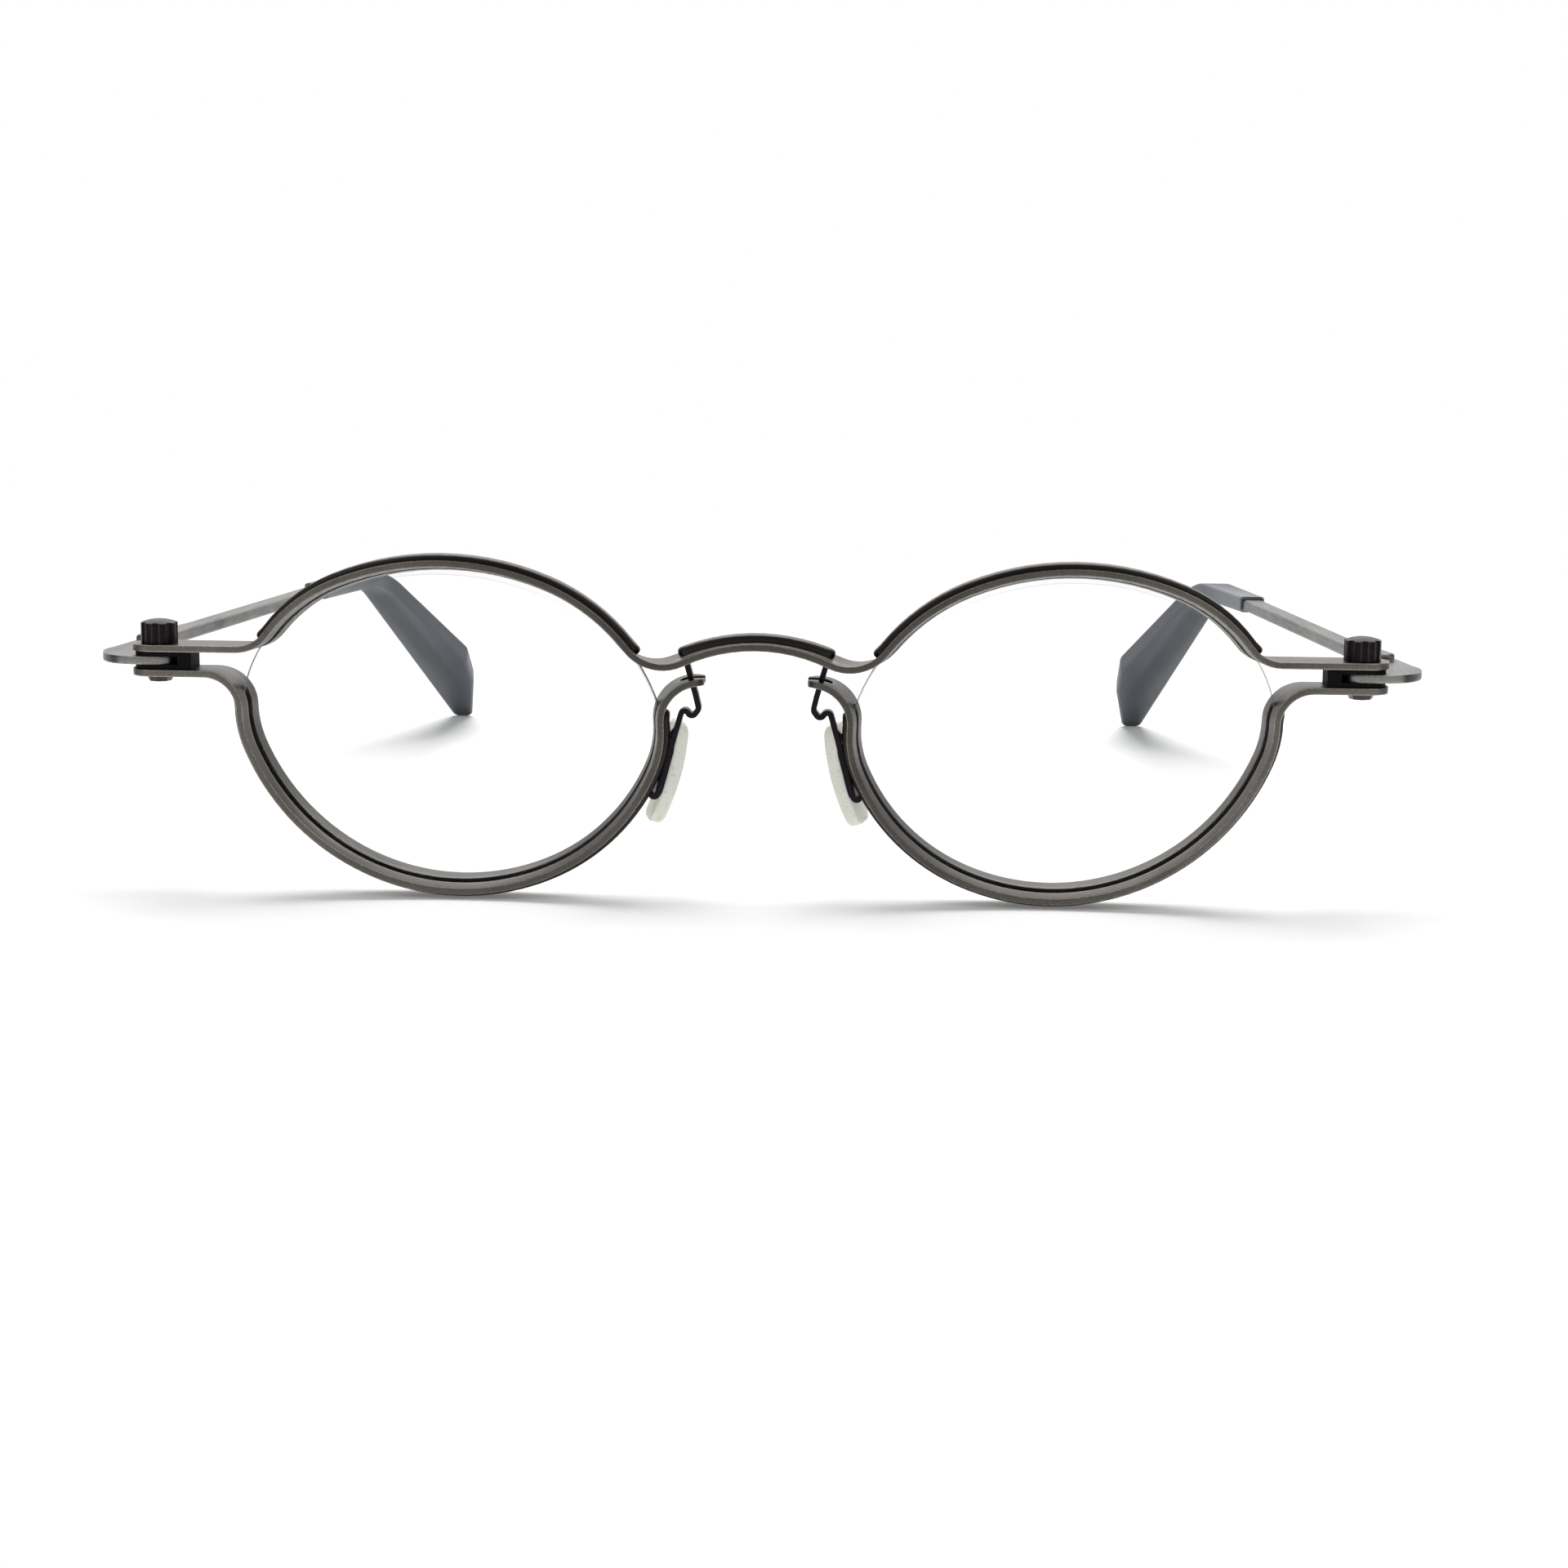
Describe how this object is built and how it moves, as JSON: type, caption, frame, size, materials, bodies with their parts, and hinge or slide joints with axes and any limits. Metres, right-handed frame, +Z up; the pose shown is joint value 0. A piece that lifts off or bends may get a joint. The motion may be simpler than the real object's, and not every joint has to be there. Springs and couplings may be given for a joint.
{
  "type": "eyeglasses",
  "caption": "Oval metal-ribbon eyeglasses with clear lenses, soft nose pads on bent arms, knob-topped temple hinges and folding temples with flat paddle tips.",
  "frame": {"origin": "middle of the underside of the box round the open spectacles, on the surface they stand on", "axes": "+X towards the wearer's left, -Y out through the lens fronts, +Y back towards the temple tips, +Z up"},
  "size_m": [0.1416, 0.1282, 0.0371],
  "materials": {
    "frame_metal": "antique brushed pewter",
    "arm_metal": "antique brushed pewter",
    "pad_arm_metal": "dark satin",
    "screw_metal": "satin",
    "knob_metal": "dark bronze satin",
    "black_plastic": "matt",
    "tip_plastic": "semi-matt",
    "pad_silicone": "translucent",
    "lens_clear": "polished"
  },
  "bodies": {
    "front": {"brow_frame": "frame_metal", "left_lower_rim": "frame_metal", "right_lower_rim": "frame_metal", "left_lens": "lens_clear", "right_lens": "lens_clear", "left_pad_arm": "pad_arm_metal", "right_pad_arm": "pad_arm_metal", "left_nose_pad": "pad_silicone", "right_nose_pad": "pad_silicone", "left_hinge_screw": "screw_metal", "right_hinge_screw": "screw_metal", "left_hinge_knob": "knob_metal", "right_hinge_knob": "knob_metal", "left_upper_washer": "black_plastic", "right_upper_washer": "black_plastic", "left_lower_washer": "black_plastic", "right_lower_washer": "black_plastic", "left_spacer_block": "black_plastic", "right_spacer_block": "black_plastic"},
    "left_temple": {"left_temple_arm": "arm_metal", "left_temple_tip": "tip_plastic"},
    "right_temple": {"right_temple_arm": "arm_metal", "right_temple_tip": "tip_plastic"}
  },
  "joints": [
    {"name": "left_temple_fold", "type": "hinge", "parent": "front", "child": "left_temple", "pos_m": [0.0641, -0.06137, 0.02536], "axis": [0, 0, 1], "range_deg": [0, 79]},
    {"name": "right_temple_fold", "type": "hinge", "parent": "front", "child": "right_temple", "pos_m": [-0.0641, -0.06137, 0.02536], "axis": [0, 0, -1], "range_deg": [0, 69]}
  ]
}
